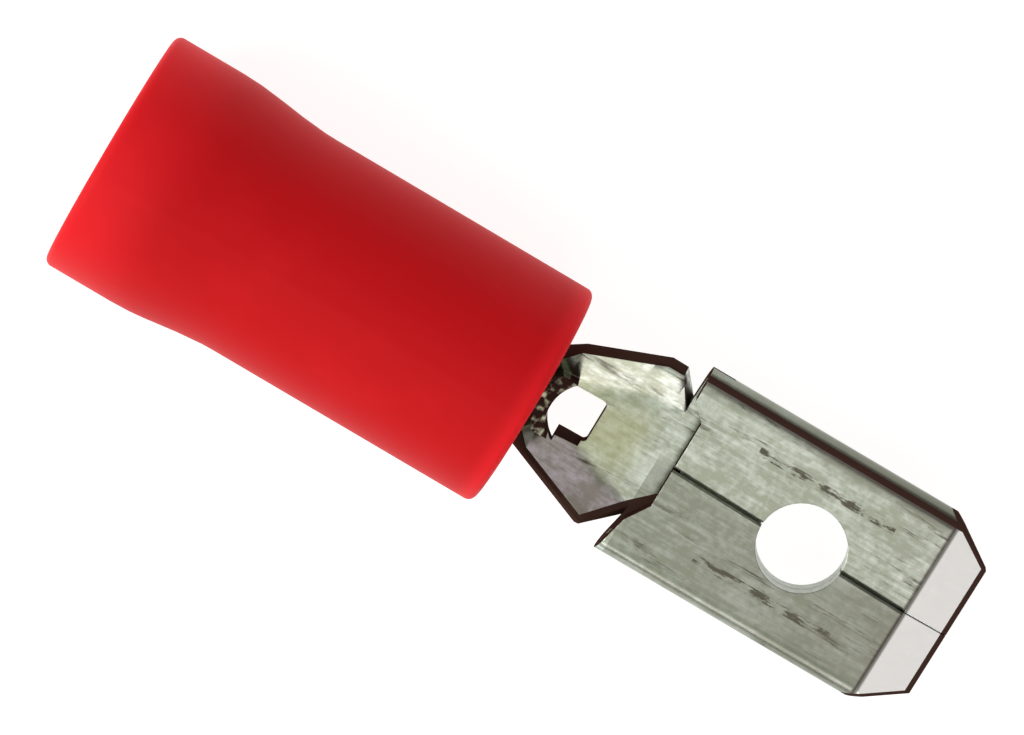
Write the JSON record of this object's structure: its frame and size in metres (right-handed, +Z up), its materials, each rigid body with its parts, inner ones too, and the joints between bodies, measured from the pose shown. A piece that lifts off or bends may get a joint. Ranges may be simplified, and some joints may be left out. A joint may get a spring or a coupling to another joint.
{
  "type": "male spade terminal",
  "caption": "Insulated male spade terminal: a folded flat tab with a latch hole, an open bowl with a wire stop and a rolled barrel, gripped in a flared red sleeve.",
  "frame": {"origin": "middle of the bounding box's floor, under the middle of the terminal's length", "axes": "+X from the wire entry to the tip of the tab, +Z up on the side of the seams; it lies on its sleeve"},
  "size_m": [0.0208, 0.0056, 0.0056],
  "materials": {
    "tinned_brass": "tin plated sheet, satin with rolling marks",
    "red_vinyl": "moulded translucent vinyl, glossy"
  },
  "bodies": {
    "root": {"contact": "tinned_brass", "insulating_sleeve": "red_vinyl"}
  },
  "joints": []
}
